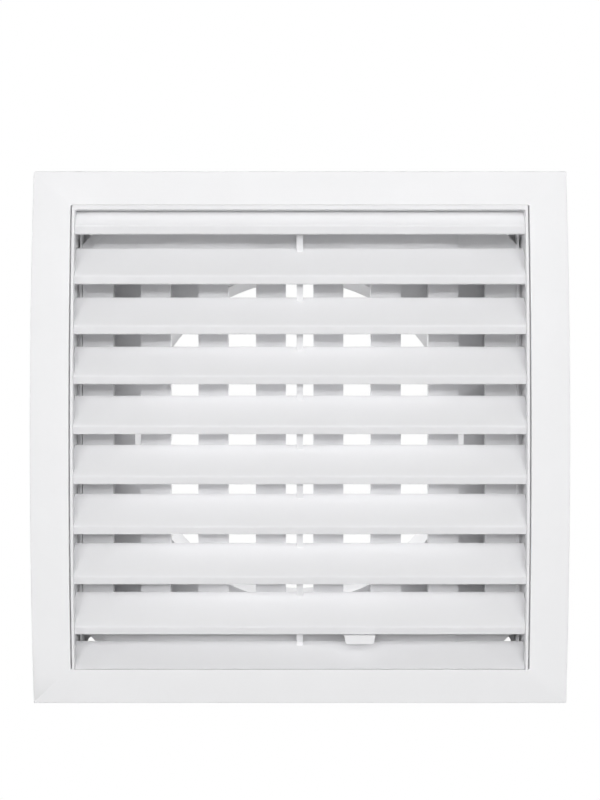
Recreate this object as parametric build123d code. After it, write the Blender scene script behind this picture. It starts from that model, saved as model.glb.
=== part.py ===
from build123d import *
import os
from math import hypot

# Adjustable vent grille, millimetres, shown with its shutter open.
# X runs to the right, Z up and Y from the front towards the wall.
# The origin is on the spigot's axis, in the plane of the wall.
# Depths are counted from the crest of the rails back towards the wall.

# Frame
flange_width = 187.4
flange_height = 187.1
flange_bow = 1.4
flange_corner = 0.6
body_depth = 28.0
side_rail_width = 13.3
end_rail_width = 12.15
rail_drop = 1.6
rail_wall = 1.8
rail_edge_radius = 0.4
crest_radius = 0.15
skirt_wall = 1.6
web_wall = 1.2
web_setback = 48.0
web_relief = 2.0

# Opening and the box behind it
opening_bow = 0.75
opening_corner = 0.6
box_wall = 1.6
tray_inset = 1.15
tray_rib_wall = 0.5
tray_rib_height = 2.1

# Fixed grid at the back of the box
grid_thickness = 1.8
slot_count = 7
end_bar = 11.2
slot_width = 10.0
slot_margin = 17.4

# Corner screw pockets, cut off at 45 degrees
pocket_size = 12.4
pocket_wall = 1.2
pocket_floor = 1.6
screw_inset_x = 3.2
screw_inset_z = 4.2
screw_hole_radius = 2.2

# Shutter, its guides and its finger tab
shutter_thickness = 1.5
shutter_margin = 4.2
shutter_pocket_gap = 5.1
shutter_corner = 1.0
shutter_clearance = 0.3
guide_wall = 1.2
lug_thickness = 1.2
lug_reach = 1.3
lug_length = 10.0
lug_spacing = 45.0
lug_relief = 0.2
stop_length = 1.2
stop_reach = 2.3
tab_center = 21.0
tab_width = 10.9
tab_taper = 1.2
tab_height = 2.95
tab_front = 0.8
tab_corner = 0.9
tab_clearance = 0.2

# Louvre panel
panel_side_gap = 0.35
panel_end_gap = 0.06
panel_front = 0.2
rim_width = 1.05
top_rim_width = 1.45
rim_depth = 2.8
blade_count = 9
blade_rise = 11.05
blade_run = 8.7
blade_front = 1.2
blade_thickness = 1.5
blade_edge_radius = 0.35
first_lip_drop = 9.76
lip_height = 2.8
lip_tuck = 1.1
lip_round = 1.0
sill_rise = 8.06
rib_width = 2.3
rib_depth = 4.3
rib_overlap = 2.7
snap_length = 10.0
snap_height = 0.45
snap_depth = 1.1
snap_setback = 1.5
snap_inset = 35.4
snap_clearance = 0.2

# Spigot plate
spigot_outer_radius = 62.4
spigot_wall = 0.9
spigot_length = 27.7
spigot_lead = 1.0
spigot_plate_thickness = 1.6
spigot_plate_clearance = 0.25
catch_length = 12.0
catch_reach = 0.8
catch_depth = 0.9
catch_spacing = 45.0
chamber_depth = 8.0
rest_length = 8.0
rest_reach = 2.0
rest_spacing = 22.5

# Working allowances for cuts and for picking edges
cut_overrun = 1.0
pick_tolerance = 0.01

# Values that follow from the driving sizes
opening_width = flange_width - 2 * side_rail_width
opening_height = flange_height - 2 * end_rail_width
opening_top = opening_height / 2
plate_front = body_depth - spigot_plate_thickness
grid_back = plate_front - chamber_depth
grid_depth = grid_back - grid_thickness
tray_width = opening_width - 2 * tray_inset
pocket_reach = (opening_width + opening_height) / 2 - pocket_size
screw_spacing_x = opening_width - 2 * screw_inset_x
screw_spacing_z = opening_height - 2 * screw_inset_z
shutter_back = grid_depth - shutter_clearance
shutter_front = shutter_back - shutter_thickness
shutter_left = -tray_width / 2 + shutter_clearance
slot_pitch = (-2 * shutter_left - 2 * end_bar - slot_width) / (slot_count - 1)
slot_height = opening_height - 2 * slot_margin
slot_centers = [(i - (slot_count - 1) / 2) * slot_pitch for i in range(slot_count)]
shutter_travel = slot_pitch / 2
shutter_right = slot_centers[-1] - slot_width / 2
shutter_top = opening_top - shutter_margin
shutter_chamfer = shutter_top - shutter_left - pocket_reach + shutter_pocket_gap
guide_bottom = shutter_top + shutter_clearance
guide_top = guide_bottom + guide_wall
lug_back = shutter_front - shutter_clearance
lug_front = lug_back - lug_thickness
panel_width = opening_width - 2 * panel_side_gap
panel_height = opening_height - 2 * panel_end_gap
panel_top = panel_height / 2
blade_back = blade_front + blade_run
blade_height = lip_height + blade_rise
sill_top = sill_rise - panel_top
first_lip_bottom = panel_top - first_lip_drop
blade_pitch = (first_lip_bottom + blade_height - sill_top) / blade_count
last_lip_bottom = first_lip_bottom - (blade_count - 1) * blade_pitch
tab_top = last_lip_bottom - tab_clearance
web_x = flange_width / 2 - web_setback
web_z = flange_height / 2 - web_setback
snap_x = opening_width / 2 - snap_inset
snap_front = panel_front + snap_setback
snap_back = snap_front + snap_depth
snap_centers = [-snap_x, snap_x]
lug_centers = [-lug_spacing, 0, lug_spacing]
catch_centers = [-catch_spacing, 0, catch_spacing]
rest_centers = [-rest_spacing, rest_spacing]


def facing(depth):
    """Plane square to the front at a depth behind the crest, with its normal towards the viewer."""
    return Plane(origin=(0, depth - body_depth, 0), x_dir=(1, 0, 0), z_dir=(0, -1, 0))


def slab(shape, front, back):
    """A flat shape drawn as seen from the front, filled from one depth to another."""
    return extrude(facing(back) * shape, back - front)


def block(left, right, bottom, top, front, back):
    """A box between two sides, two heights and two depths."""
    middle = Location(((left + right) / 2, (bottom + top) / 2))
    return slab(middle * Rectangle(right - left, top - bottom), front, back)


def bowed_outline(width, height, bow, corner):
    """A rectangle with straight top and bottom, sides that bow outwards and round corners."""
    x = width / 2
    z = height / 2
    sides = [
        Line((-x, z), (x, z)),
        ThreePointArc((x, z), (x + bow, 0), (x, -z)),
        Line((x, -z), (-x, -z)),
        ThreePointArc((-x, -z), (-x - bow, 0), (-x, z)),
    ]
    return fillet(make_face(sides).vertices(), corner)


def corner_cut(inset):
    """The square on its point that cuts off the corners for the pockets, drawn in by an inset."""
    reach = pocket_reach - hypot(inset, inset)
    return make_face(Polyline([(reach, 0), (0, reach), (-reach, 0), (0, -reach)], close=True))


def opening_outline(margin):
    """The opening's outline, grown outwards by a margin."""
    width = opening_width + 2 * margin
    height = opening_height + 2 * margin
    return bowed_outline(width, height, opening_bow, opening_corner)


def slots(centers):
    """Upright slots at the given places."""
    return [Location((x, 0)) * Rectangle(slot_width, slot_height) for x in centers]


def rail_form(inset, sink):
    """Block under the rails, whose front falls from the opening to the edge, inset and sunk."""
    rim = bowed_outline(flange_width - 2 * inset, flange_height - 2 * inset, flange_bow, flange_corner)
    edge = facing(rail_drop + sink) * rim
    crest = facing(sink) * opening_outline(0)
    return loft([edge, crest], ruled=True) + slab(rim, rail_drop + sink, body_depth)


def edges_at(solid, depth):
    """The edges of a solid that lie flat at one depth."""
    y = depth - body_depth
    return solid.edges().filter_by_position(Axis.Y, y - pick_tolerance, y + pick_tolerance)


def mirrored_blocks(centers, length, bottom, top, front, back):
    """Equal blocks in a row along the top, and the same row along the bottom."""
    rows = []
    for x in centers:
        rows.append(block(x - length / 2, x + length / 2, bottom, top, front, back))
        rows.append(block(x - length / 2, x + length / 2, -top, -bottom, front, back))
    return rows


def make_frame():
    """Rails, skirt and inner box, hollow behind, with webs across the hollow."""
    rails = rail_form(0, 0)
    rails = fillet(edges_at(rails, rail_drop), rail_edge_radius)
    box = slab(opening_outline(box_wall), 0, body_depth)
    hollow = rail_form(skirt_wall, rail_wall) - box
    opening = slab(opening_outline(0), -cut_overrun, body_depth)
    frame = rails - hollow - opening
    frame = fillet(edges_at(frame, 0), crest_radius)
    bars = []
    for side in [-1, 1]:
        bars.append(Location((side * web_x, 0)) * Rectangle(web_wall, flange_height))
        bars.append(Location((0, side * web_z)) * Rectangle(flange_width, web_wall))
    webs = slab(Sketch() + bars, 0, body_depth - web_relief) & hollow
    return frame + webs


def make_grid():
    """Slotted grid with a thin rib up each side and the four screw pockets in its corners."""
    inside = opening_outline(0)
    cut = inside & corner_cut(0)
    plate = slab(cut - slots(slot_centers), grid_depth, grid_back)
    tray = Rectangle(tray_width, opening_height)
    rib_outline = Rectangle(tray_width + 2 * tray_rib_wall, opening_height)
    ribs = slab((rib_outline - tray) & inside, grid_depth - tray_rib_height, grid_back)
    screw_holes = GridLocations(screw_spacing_x, screw_spacing_z, 2, 2) * Circle(screw_hole_radius)
    walls = slab(cut - corner_cut(pocket_wall), grid_depth, body_depth)
    floors = slab(inside - corner_cut(pocket_wall) - screw_holes, body_depth - pocket_floor, body_depth)
    return plate + ribs + walls + floors


def make_guides():
    """Ribs above and below the shutter, with lugs over its edges and stops at the shut end."""
    guide_half = pocket_reach - guide_top
    guides = mirrored_blocks([0], 2 * guide_half, guide_bottom, guide_top, lug_front, grid_depth)
    lug_tip = shutter_top - lug_reach
    lugs = mirrored_blocks(lug_centers, lug_length, lug_tip, guide_bottom, lug_front, lug_back)
    stop_center = shutter_right + shutter_travel + shutter_clearance + stop_length / 2
    stop_bottom = guide_bottom - stop_reach
    stops = mirrored_blocks(
        [stop_center], stop_length, stop_bottom, guide_bottom, shutter_front, grid_depth
    )
    return guides + lugs + stops


def make_grille_body():
    """Frame, grid, guides, rests and catches as one moulding, with recesses for what snaps in."""
    catch_tip = opening_top - catch_reach
    catch_front = body_depth - catch_depth
    catches = mirrored_blocks(
        catch_centers, catch_length, catch_tip, opening_top, catch_front, body_depth
    )
    rest_tip = opening_top - rest_reach
    rests = mirrored_blocks(rest_centers, rest_length, rest_tip, opening_top, grid_back, plate_front)
    body = make_frame() + make_grid() + make_guides() + catches + rests
    windows = mirrored_blocks(
        lug_centers,
        lug_length + 2 * lug_relief,
        shutter_top - lug_reach,
        guide_bottom,
        grid_depth,
        grid_back,
    )
    recesses = mirrored_blocks(
        snap_centers,
        snap_length + 2 * snap_clearance,
        opening_top,
        panel_top + snap_height + snap_clearance,
        snap_front - snap_clearance,
        snap_back + snap_clearance,
    )
    return body - windows - recesses


def across(a, b, thickness):
    """Vector square to the line from a to b, of a given length, on the side under the line."""
    run = b[0] - a[0]
    rise = b[1] - a[1]
    length = hypot(run, rise)
    return (rise / length * thickness, -run / length * thickness)


def section_solid(corners):
    """A section run across the panel: each corner has a place, as depth and height, and a radius."""
    points = [(depth - body_depth, height) for (depth, height), radius in corners]
    profile = make_face(Polyline(points, close=True))
    for point, (place, radius) in zip(points, corners):
        if radius:
            profile = fillet(profile.vertices().sort_by_distance(point)[0], radius)
    return extrude(Plane.YZ * profile, panel_width / 2 + opening_bow, both=True)


def make_blade(lip_bottom):
    """Sloping blade with a lip that hangs from its front edge and is tucked back at the bottom."""
    lip_top = lip_bottom + lip_height
    front = (blade_front, lip_top)
    back = (blade_back, lip_top + blade_rise)
    under = across(front, back, blade_thickness)
    under_back = (back[0] + under[0], back[1] + under[1])
    lip_toe = (blade_front + lip_tuck, lip_bottom)
    lip_heel = (lip_toe[0] + blade_thickness, lip_bottom)
    slope = blade_rise / blade_run
    lean = lip_tuck / lip_height
    drop = under_back[1] - lip_bottom - slope * (under_back[0] - lip_heel[0])
    armpit_height = drop / (1 + slope * lean)
    armpit = (lip_heel[0] - lean * armpit_height, lip_bottom + armpit_height)
    return section_solid([
        (front, lip_round),
        (back, blade_edge_radius),
        (under_back, 0),
        (armpit, 0),
        (lip_heel, blade_edge_radius),
        (lip_toe, blade_edge_radius),
    ])


def make_sill():
    """Plain lowest blade, which runs from its back edge down to the panel's front bottom edge."""
    front = (blade_back - blade_run, sill_top - sill_rise)
    back = (blade_back, sill_top)
    under = across(front, back, blade_thickness)
    under_back = (back[0] + under[0], back[1] + under[1])
    under_front = (front[0] + under[0], front[1] + under[1])
    return section_solid([
        (front, blade_edge_radius),
        (back, blade_edge_radius),
        (under_back, 0),
        (under_front, 0),
    ])


def make_louvre_panel():
    """Rim, blades, sill and centre rib as one moulding, with bumps that snap into the opening."""
    outline = bowed_outline(panel_width, panel_height, opening_bow, opening_corner)
    blade_room = Location((0, -top_rim_width)) * outline
    envelope = slab(outline & blade_room, panel_front, grid_depth)
    rim_hole = Location((0, -top_rim_width)) * bowed_outline(
        panel_width - 2 * rim_width, panel_height, opening_bow, opening_corner
    )
    rim = slab(outline - rim_hole, panel_front, panel_front + rim_depth)
    blades = [make_blade(first_lip_bottom - i * blade_pitch) for i in range(blade_count)]
    rib_front = blade_back - rib_overlap
    rib_back = rib_front + rib_depth
    rib = block(-rib_width / 2, rib_width / 2, sill_top - blade_thickness, panel_top, rib_front, rib_back)
    slats = (Part() + blades + make_sill() + rib) & envelope
    snap_root = panel_top - rim_width / 2
    snap_tip = panel_top + snap_height
    bumps = mirrored_blocks(snap_centers, snap_length, snap_root, snap_tip, snap_front, snap_back)
    return slats + rim + bumps


def make_shutter():
    """Slotted plate with its left corners cut off and a finger tab that reaches through the lowest gap."""
    middle = Location(((shutter_left + shutter_right) / 2, 0))
    sheet = middle * Rectangle(shutter_right - shutter_left, 2 * shutter_top)
    left_corners = sheet.vertices().sort_by(Axis.X)[:2]
    sheet = chamfer(left_corners, shutter_chamfer)
    right_corners = sheet.vertices().sort_by(Axis.X)[-2:]
    sheet = fillet(right_corners, shutter_corner)
    plate = slab(sheet - slots(slot_centers[:-1]), shutter_front, shutter_back)
    half = tab_width / 2
    toe = half - tab_taper / 2
    tab_bottom = tab_top - tab_height
    face = make_face(Polyline(
        [
            (tab_center - half, tab_top),
            (tab_center + half, tab_top),
            (tab_center + toe, tab_bottom),
            (tab_center - toe, tab_bottom),
        ],
        close=True,
    ))
    face = fillet(face.vertices().sort_by(Axis.Y)[:2], tab_corner)
    return plate + slab(face, tab_front, shutter_front)


def make_spigot_plate():
    """Plate that fills the back of the box, with a round duct spigot and rebates for the catches."""
    inner_radius = spigot_outer_radius - spigot_wall
    sheet = opening_outline(-spigot_plate_clearance) & corner_cut(pocket_wall + spigot_plate_clearance)
    plate = slab(sheet, plate_front, body_depth)
    spigot = slab(Circle(spigot_outer_radius), plate_front, body_depth + spigot_length)
    spigot = chamfer(edges_at(spigot, body_depth + spigot_length), spigot_lead)
    bore = slab(Circle(inner_radius), plate_front, body_depth + spigot_length)
    rebates = mirrored_blocks(
        catch_centers,
        catch_length + 2 * spigot_plate_clearance,
        opening_top - catch_reach - spigot_plate_clearance,
        opening_top,
        body_depth - catch_depth,
        body_depth,
    )
    return plate + spigot - bore - rebates


def main():
    os.makedirs("parts", exist_ok=True)
    pieces = {
        "grille_body": make_grille_body(),
        "louvre_panel": make_louvre_panel(),
        "shutter": make_shutter(),
        "spigot_plate": make_spigot_plate(),
    }
    for name, piece in pieces.items():
        export_step(piece, f"parts/{name}.step")


main()
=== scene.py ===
"""Looks of an adjustable vent grille: moulded white plastic pieces and a plain white studio."""

from math import radians

import bmesh
import bpy
import numpy as np
from bpy.props import FloatProperty, FloatVectorProperty, PointerProperty
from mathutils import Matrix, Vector


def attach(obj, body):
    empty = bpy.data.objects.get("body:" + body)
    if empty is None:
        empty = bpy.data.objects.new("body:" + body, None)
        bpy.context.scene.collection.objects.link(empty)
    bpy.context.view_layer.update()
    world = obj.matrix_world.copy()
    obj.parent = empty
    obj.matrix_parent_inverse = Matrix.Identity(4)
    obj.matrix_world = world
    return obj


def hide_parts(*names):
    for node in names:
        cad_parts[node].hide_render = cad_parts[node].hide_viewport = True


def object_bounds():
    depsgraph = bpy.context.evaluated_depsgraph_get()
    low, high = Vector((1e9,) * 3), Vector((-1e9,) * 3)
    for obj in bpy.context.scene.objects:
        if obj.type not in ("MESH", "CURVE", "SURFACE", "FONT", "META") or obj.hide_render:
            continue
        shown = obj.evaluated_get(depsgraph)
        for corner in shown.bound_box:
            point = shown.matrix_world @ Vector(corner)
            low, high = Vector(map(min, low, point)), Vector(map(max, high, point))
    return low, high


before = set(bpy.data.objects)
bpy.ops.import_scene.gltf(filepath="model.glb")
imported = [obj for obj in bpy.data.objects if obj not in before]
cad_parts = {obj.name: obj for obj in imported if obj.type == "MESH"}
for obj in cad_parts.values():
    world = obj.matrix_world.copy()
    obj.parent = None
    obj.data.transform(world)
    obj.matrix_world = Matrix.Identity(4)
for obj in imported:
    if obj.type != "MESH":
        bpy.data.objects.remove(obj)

bl_info = {
    "name": "Adjustable vent grille",
    "version": (1, 0, 0),
    "blender": (4, 5, 0),
    "location": "View3D > Sidebar > Vent grille",
    "description": "Dresses the four mouldings of a wall vent grille and lights them in a white studio",
    "category": "Object",
}

CAD_BOX = [list(corner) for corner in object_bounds()]

# Plastic and the dressed copies of the solids
NOISE_LOW = 0.3
NOISE_HIGH = 0.7
FLOW_DETAIL = 2.0
GRAIN_DETAIL = 1.0
PLASTIC_IOR = 1.5
MERGE_DISTANCE = 1e-6
SMOOTH_ANGLE = radians(28)

# Louvre panel, lengths in metres: where its blades, sill, rib and rim lie, and how far they are reshaped
ON_PLANE = 0.00002
ON_SLOPE = 0.00004
BLADE_PITCH = 0.017635
BLADE_SLOPE = 1.27
SILL_SLOPE = 0.926
SILL_TOP = -0.0745
RIB_HALF_WIDTH = 0.00115
RIB_FRONT = -0.0208
RIB_TOP_FOOT = 0.06437
RIB_FOOT_SLACK = 0.05
RIB_FOOT_SHARE = 0.5
RIB_FOOT_SETBACK = 0.0015
RIB_HEAD_ADVANCE = 0.003
TOP_FACE_FOOT = (-0.02645, 0.07483)
TOP_FACE_HEAD = 0.0799
TOP_FACE_ADVANCE = 0.0018
RIM_OUTER_SIDE = 0.0799
RIM_BACK = -0.0249
RIM_SIDE_TRIM = 0.00015

# Camera, lamps and floor of the studio, places and sizes in metres
PHOTO_HEIGHT_PX = 800
SENSOR_MM = 36.0
LOOK_ALONG_Y = (radians(90), 0.0, 0.0)
KEY_PLACE = (0.0, -1.40, 0.33)
KEY_SIZE = (1.75, 0.27)
HIGH_PLACE = (0.0, -1.40, 0.84)
HIGH_SIZE = (1.75, 0.42)
LOW_PLACE = (0.0, -0.93, 0.0)
LOW_SIZE = (0.34, 0.24)
LEFT_PLACE = (-1.75, -0.93, 0.165)
RIGHT_PLACE = (1.75, -0.93, 0.165)
SIDE_SIZE = (0.34, 0.09)
BACK_PLACE = (0.0, 2.0, 0.3)
BACK_SIZE = (2.0, 1.2)
FLOOR_REACH = 6.0
FLOOR_CORNERS = ((-1, -1), (1, -1), (1, 1), (-1, 1))


class GrilleFinish(bpy.types.PropertyGroup):
    """Colour and surface of the moulded plastic."""

    body_color: FloatVectorProperty(
        name="Body colour",
        description="Plastic of the frame and the fixed grid",
        subtype="COLOR",
        size=3,
        default=(0.90, 0.90, 0.91),
    )
    # Painted shade: the louvre panel is the same white plastic as the frame, and this colour is set darker
    # to stand in for the shade on its sloping blades and tucked lips.
    panel_color_with_painted_shade: FloatVectorProperty(
        name="Panel colour",
        description="Plastic of the louvre panel",
        subtype="COLOR",
        size=3,
        default=(0.855, 0.855, 0.868),
    )
    # Painted shade: the shutter and the spigot plate sit deep behind the blades, and this colour is set
    # darker than the frame's plastic to stand in for the shade of that recess.
    inner_color_with_painted_shade: FloatVectorProperty(
        name="Inner colour",
        description="Plastic of the shutter and the spigot plate",
        subtype="COLOR",
        size=3,
        default=(0.85, 0.85, 0.863),
    )
    roughness: FloatProperty(
        name="Roughness",
        description="Middle roughness of the satin surface",
        subtype="FACTOR",
        min=0.0,
        max=1.0,
        default=0.6,
    )
    roughness_spread: FloatProperty(
        name="Roughness spread",
        description="How far the roughness wanders either side of its middle",
        subtype="FACTOR",
        min=0.0,
        max=0.5,
        default=0.05,
    )
    tone_spread: FloatProperty(
        name="Tone spread",
        description="How much darker the plastic gets where the melt cooled last",
        subtype="FACTOR",
        min=0.0,
        max=0.2,
        default=0.015,
    )
    grain_size: FloatProperty(
        name="Grain size",
        description="Width of the fine grain left by the mould",
        unit="LENGTH",
        min=0.0001,
        default=0.0005,
    )
    grain_depth: FloatProperty(
        name="Grain depth",
        description="Height of the fine grain left by the mould",
        unit="LENGTH",
        min=0.0,
        default=0.000012,
    )
    flow_size: FloatProperty(
        name="Flow size",
        description="Width of the slow changes in tone and sheen",
        unit="LENGTH",
        min=0.001,
        default=0.03,
    )


class GrilleStage(bpy.types.PropertyGroup):
    """Camera, lights and floor of the studio."""

    camera_distance: FloatProperty(
        name="Camera distance",
        description="From the lens to the crest of the rails",
        unit="LENGTH",
        default=0.382,
    )
    camera_height: FloatProperty(
        name="Camera height",
        description="Height of the lens above the middle of the grille",
        unit="LENGTH",
        default=0.00746,
    )
    focal_px: FloatProperty(
        name="Focal length",
        description="Focal length in pixels of an image 800 pixels high",
        subtype="PIXEL",
        default=1090.6,
    )
    camera_side: FloatProperty(
        name="Camera side",
        description="How far the lens stands to the right of the middle of the grille",
        unit="LENGTH",
        default=-0.00315,
    )
    view_shift: FloatVectorProperty(
        name="View shift",
        description="How far the frame is shifted right and up from the lens axis, as a share of its height",
        size=2,
        default=(0.01125, 0.02),
    )
    floor_drop: FloatProperty(
        name="Floor drop",
        description="How far the floor lies under the grille",
        unit="LENGTH",
        default=0.06,
    )
    key_power: FloatProperty(
        name="Key light",
        description="Power of the wide softbox in front",
        unit="POWER",
        default=8.7,
    )
    high_power: FloatProperty(
        name="High light",
        description="Power of the wide softbox above the key light",
        unit="POWER",
        default=8.4,
    )
    low_power: FloatProperty(
        name="Low light",
        description="Power of the small softbox level with the grille",
        unit="POWER",
        default=0.5,
    )
    side_power: FloatProperty(
        name="Side lights",
        description="Power of each of the two softboxes far out at the sides",
        unit="POWER",
        default=5.5,
    )
    back_power: FloatProperty(
        name="Back light",
        description="Power of the softbox behind",
        unit="POWER",
        default=45.0,
    )
    ambient: FloatProperty(
        name="Ambient",
        description="Strength of the even light from all round",
        min=0.0,
        default=0.0,
    )
    floor_gray: FloatProperty(
        name="Floor grey",
        description="How much light the floor gives back",
        subtype="FACTOR",
        min=0.0,
        max=1.0,
        default=0.6,
    )


def add_noise(tree, coords, size, detail):
    """Noise whose features are about as wide as the given size in metres."""
    noise = tree.nodes.new("ShaderNodeTexNoise")
    noise.inputs["Scale"].default_value = 1.0 / size
    noise.inputs["Detail"].default_value = detail
    tree.links.new(coords, noise.inputs["Vector"])
    return noise.outputs["Fac"]


def add_range(tree, value, low, high):
    """Spread the middle of a noise's values, where nearly all of them lie, over a wanted range."""
    remap = tree.nodes.new("ShaderNodeMapRange")
    remap.inputs["From Min"].default_value = NOISE_LOW
    remap.inputs["From Max"].default_value = NOISE_HIGH
    remap.inputs["To Min"].default_value = low
    remap.inputs["To Max"].default_value = high
    tree.links.new(value, remap.inputs["Value"])
    return remap.outputs["Result"]


def moulded_plastic(name, color, finish):
    """Satin white plastic: slow tone and sheen changes, and the fine grain of the mould as bump."""
    material = bpy.data.materials.new(name)
    material.use_nodes = True
    tree = material.node_tree
    shader = tree.nodes["Principled BSDF"]
    coords = tree.nodes.new("ShaderNodeTexCoord").outputs["Object"]
    flow = add_noise(tree, coords, finish.flow_size, FLOW_DETAIL)
    tint = tree.nodes.new("ShaderNodeMix")
    tint.data_type = "RGBA"
    tint.inputs["A"].default_value = (*color, 1.0)
    tint.inputs["B"].default_value = (*[c * (1.0 - finish.tone_spread) for c in color], 1.0)
    tree.links.new(add_range(tree, flow, 0.0, 1.0), tint.inputs["Factor"])
    tree.links.new(tint.outputs["Result"], shader.inputs["Base Color"])
    low = finish.roughness - finish.roughness_spread
    high = finish.roughness + finish.roughness_spread
    tree.links.new(add_range(tree, flow, low, high), shader.inputs["Roughness"])
    grain = tree.nodes.new("ShaderNodeBump")
    grain.inputs["Strength"].default_value = 1.0
    grain.inputs["Distance"].default_value = finish.grain_depth
    tree.links.new(add_noise(tree, coords, finish.grain_size, GRAIN_DETAIL), grain.inputs["Height"])
    tree.links.new(grain.outputs["Normal"], shader.inputs["Normal"])
    shader.inputs["IOR"].default_value = PLASTIC_IOR
    return material


def lean_rib(x, y, z):
    """Lean the rib's front between the blades.

    A point of the front in the lower half of a blade's pitch is a foot and moves back, and one in the
    upper half is a head and moves forward. Each stays on its blade or the sill: its height changes by
    its move times the slope there.
    """
    on_front = (np.abs(x) < RIB_HALF_WIDTH + ON_PLANE) & (np.abs(y - RIB_FRONT) < ON_PLANE)
    share_of_pitch = np.mod((z - RIB_TOP_FOOT) / BLADE_PITCH + RIB_FOOT_SLACK, 1.0)
    foot = on_front & (share_of_pitch < RIB_FOOT_SHARE)
    head = on_front & (share_of_pitch >= RIB_FOOT_SHARE)
    move = foot * RIB_FOOT_SETBACK - head * RIB_HEAD_ADVANCE
    z += move * np.where(z < SILL_TOP, SILL_SLOPE, BLADE_SLOPE)
    y += move


def steepen_top_face(y, z):
    """Turn the top blade's face up about its foot: its points come forward by their share of its height."""
    foot_y, foot_z = TOP_FACE_FOOT
    on_face = np.abs(y - foot_y - (z - foot_z) / BLADE_SLOPE) < ON_SLOPE
    on_face &= (z > foot_z) & (z < TOP_FACE_HEAD)
    y -= on_face * TOP_FACE_ADVANCE * (z - foot_z) / (TOP_FACE_HEAD - foot_z)


def trim_rim_sides(x, y):
    """Draw the rim's outer sides in by a trim, so that the gaps beside the panel are open."""
    on_side = (np.abs(x) > RIM_OUTER_SIDE) & (y < RIM_BACK)
    x -= on_side * np.sign(x) * RIM_SIDE_TRIM


def reshape_panel(mesh):
    """Lean the centre rib, steepen the top blade's face and trim the rim's sides."""
    flat = np.empty(3 * len(mesh.vertices), dtype=np.float32)
    mesh.vertices.foreach_get("co", flat)
    x, y, z = flat.reshape(-1, 3).T
    lean_rib(x, y, z)
    steepen_top_face(y, z)
    trim_rim_sides(x, y)
    mesh.vertices.foreach_set("co", flat)
    mesh.update()


def dressed_copy(node, name, material, body, reshape=None):
    """A merged copy of a solid, smooth over its rounds and crisp at its edges, that takes its place."""
    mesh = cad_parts[node].data.copy()
    mesh.name = name
    if reshape is not None:
        reshape(mesh)
    work = bmesh.new()
    work.from_mesh(mesh)
    bmesh.ops.remove_doubles(work, verts=work.verts, dist=MERGE_DISTANCE)
    for face in work.faces:
        face.smooth = True
    for edge in work.edges:
        edge.smooth = edge.is_manifold and edge.calc_face_angle() < SMOOTH_ANGLE
    work.to_mesh(mesh)
    work.free()
    mesh.materials.clear()
    mesh.materials.append(material)
    piece = bpy.data.objects.new(name, mesh)
    bpy.context.scene.collection.objects.link(piece)
    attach(piece, body)
    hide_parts(node)


class GRILLE_OT_body(bpy.types.Operator):
    """Dress the frame with its fixed grid"""

    bl_idname = "grille.body"
    bl_label = "Frame and grid"

    def execute(self, context):
        finish = context.scene.grille_finish
        plastic = moulded_plastic("body_plastic_satin", finish.body_color, finish)
        dressed_copy("grille_body", "frame_moulding", plastic, "grille")
        return {"FINISHED"}


class GRILLE_OT_louvre_panel(bpy.types.Operator):
    """Dress the louvre panel with its blades"""

    bl_idname = "grille.louvre_panel"
    bl_label = "Louvre panel"

    def execute(self, context):
        finish = context.scene.grille_finish
        # The panel's colour carries painted shade for its blades and lips.
        plastic = moulded_plastic("panel_plastic_satin", finish.panel_color_with_painted_shade, finish)
        dressed_copy("louvre_panel", "louvre_moulding", plastic, "grille", reshape_panel)
        return {"FINISHED"}


class GRILLE_OT_shutter(bpy.types.Operator):
    """Dress the sliding shutter with its finger tab"""

    bl_idname = "grille.shutter"
    bl_label = "Shutter"

    def execute(self, context):
        finish = context.scene.grille_finish
        # The shutter's colour carries painted shade for the recess behind the blades.
        plastic = moulded_plastic("shutter_plastic_satin", finish.inner_color_with_painted_shade, finish)
        dressed_copy("shutter", "shutter_moulding", plastic, "shutter")
        return {"FINISHED"}


class GRILLE_OT_spigot_plate(bpy.types.Operator):
    """Dress the back plate with its duct spigot"""

    bl_idname = "grille.spigot_plate"
    bl_label = "Spigot plate"

    def execute(self, context):
        finish = context.scene.grille_finish
        # The spigot plate's colour carries painted shade for the recess behind the blades.
        plastic = moulded_plastic("spigot_plastic_satin", finish.inner_color_with_painted_shade, finish)
        dressed_copy("spigot_plate", "spigot_moulding", plastic, "grille")
        return {"FINISHED"}


def seen_directly(tree):
    """1 where the camera or a reflection looks at a surface, and 0 for light that bounces."""
    path = tree.nodes.new("ShaderNodeLightPath")
    either = path.outputs["Is Camera Ray"]
    for other in ("Is Glossy Ray", "Is Transmission Ray"):
        larger = tree.nodes.new("ShaderNodeMath")
        larger.operation = "MAXIMUM"
        tree.links.new(either, larger.inputs[0])
        tree.links.new(path.outputs[other], larger.inputs[1])
        either = larger.outputs[0]
    return either


def white_world(ambient):
    """World that looks white and lights the object with a plain even level."""
    world = bpy.data.worlds.new("studio_white")
    world.use_nodes = True
    tree = world.node_tree
    background = tree.nodes["Background"]
    strength = tree.nodes.new("ShaderNodeMix")
    strength.data_type = "FLOAT"
    strength.inputs["A"].default_value = ambient
    strength.inputs["B"].default_value = 1.0
    tree.links.new(seen_directly(tree), strength.inputs["Factor"])
    tree.links.new(strength.outputs["Result"], background.inputs["Strength"])
    background.inputs["Color"].default_value = (1.0, 1.0, 1.0, 1.0)
    bpy.context.scene.world = world


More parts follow.
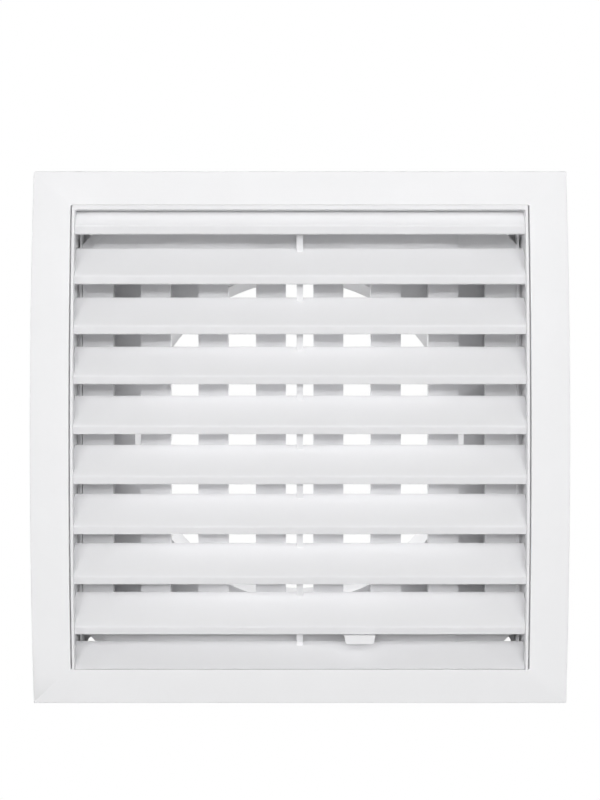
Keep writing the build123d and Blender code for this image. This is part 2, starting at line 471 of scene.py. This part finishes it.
def white_floor(height, gray):
    """Wide pale floor that looks white and gives back a plain share of the light."""
    corners = [(x * FLOOR_REACH, y * FLOOR_REACH, height) for x, y in FLOOR_CORNERS]
    mesh = bpy.data.meshes.new("floor")
    mesh.from_pydata(corners, [], [(0, 1, 2, 3)])
    material = bpy.data.materials.new("floor_white")
    material.use_nodes = True
    tree = material.node_tree
    tree.nodes.clear()
    matte = tree.nodes.new("ShaderNodeBsdfDiffuse")
    matte.inputs["Color"].default_value = (gray, gray, gray, 1.0)
    glow = tree.nodes.new("ShaderNodeEmission")
    mix = tree.nodes.new("ShaderNodeMixShader")
    output = tree.nodes.new("ShaderNodeOutputMaterial")
    tree.links.new(seen_directly(tree), mix.inputs["Fac"])
    tree.links.new(matte.outputs[0], mix.inputs[1])
    tree.links.new(glow.outputs[0], mix.inputs[2])
    tree.links.new(mix.outputs[0], output.inputs["Surface"])
    mesh.materials.append(material)
    floor = bpy.data.objects.new("floor", mesh)
    bpy.context.scene.collection.objects.link(floor)


def softbox(name, place, size, power):
    """Soft rectangular lamp, as wide and high as the size says, that faces the middle of the grille."""
    light = bpy.data.lights.new(name, "AREA")
    light.shape = "RECTANGLE"
    light.size, light.size_y = size
    light.energy = power
    lamp = bpy.data.objects.new(name, light)
    lamp.location = place
    lamp.rotation_euler = (-Vector(place)).to_track_quat("-Z", "Y").to_euler()
    bpy.context.scene.collection.objects.link(lamp)


class GRILLE_OT_stage(bpy.types.Operator):
    """Set the camera, the lights and the white floor"""

    bl_idname = "grille.stage"
    bl_label = "Studio"

    def execute(self, context):
        scene = context.scene
        stage = scene.grille_stage
        lowest = Vector(CAD_BOX[0])
        camera = bpy.data.cameras.new("camera")
        camera.sensor_fit = "VERTICAL"
        camera.sensor_height = SENSOR_MM
        camera.lens = stage.focal_px / PHOTO_HEIGHT_PX * SENSOR_MM
        camera.shift_x, camera.shift_y = stage.view_shift
        viewer = bpy.data.objects.new("camera", camera)
        viewer.location = (stage.camera_side, lowest.y - stage.camera_distance, stage.camera_height)
        viewer.rotation_euler = LOOK_ALONG_Y
        scene.collection.objects.link(viewer)
        scene.camera = viewer
        softbox("key_softbox", KEY_PLACE, KEY_SIZE, stage.key_power)
        softbox("high_softbox", HIGH_PLACE, HIGH_SIZE, stage.high_power)
        softbox("low_softbox", LOW_PLACE, LOW_SIZE, stage.low_power)
        softbox("left_softbox", LEFT_PLACE, SIDE_SIZE, stage.side_power)
        softbox("right_softbox", RIGHT_PLACE, SIDE_SIZE, stage.side_power)
        softbox("back_softbox", BACK_PLACE, BACK_SIZE, stage.back_power)
        white_world(stage.ambient)
        white_floor(lowest.z - stage.floor_drop, stage.floor_gray)
        scene.view_settings.view_transform = "Standard"
        return {"FINISHED"}


class GRILLE_PT_panel(bpy.types.Panel):
    """Lists the pieces of the grille and its studio"""

    bl_idname = "GRILLE_PT_panel"
    bl_label = "Vent grille"
    bl_space_type = "VIEW_3D"
    bl_region_type = "UI"
    bl_category = "Vent grille"

    def draw(self, context):
        layout = self.layout
        for operator in OPERATORS:
            layout.operator(operator.bl_idname)
        for group in (context.scene.grille_finish, context.scene.grille_stage):
            for name in group.__annotations__:
                layout.prop(group, name)


OPERATORS = (
    GRILLE_OT_body,
    GRILLE_OT_louvre_panel,
    GRILLE_OT_shutter,
    GRILLE_OT_spigot_plate,
    GRILLE_OT_stage,
)
CLASSES = (GrilleFinish, GrilleStage, *OPERATORS, GRILLE_PT_panel)


def register():
    """Add the classes and the two groups of values to the scene type."""
    for cls in CLASSES:
        bpy.utils.register_class(cls)
    bpy.types.Scene.grille_finish = PointerProperty(type=GrilleFinish)
    bpy.types.Scene.grille_stage = PointerProperty(type=GrilleStage)


def unregister():
    """Take away what register added."""
    del bpy.types.Scene.grille_stage
    del bpy.types.Scene.grille_finish
    for cls in reversed(CLASSES):
        bpy.utils.unregister_class(cls)


def main():
    """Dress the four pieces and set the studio."""
    register()
    bpy.ops.grille.body()
    bpy.ops.grille.louvre_panel()
    bpy.ops.grille.shutter()
    bpy.ops.grille.spigot_plate()
    bpy.ops.grille.stage()


if __name__ == "__main__":
    main()
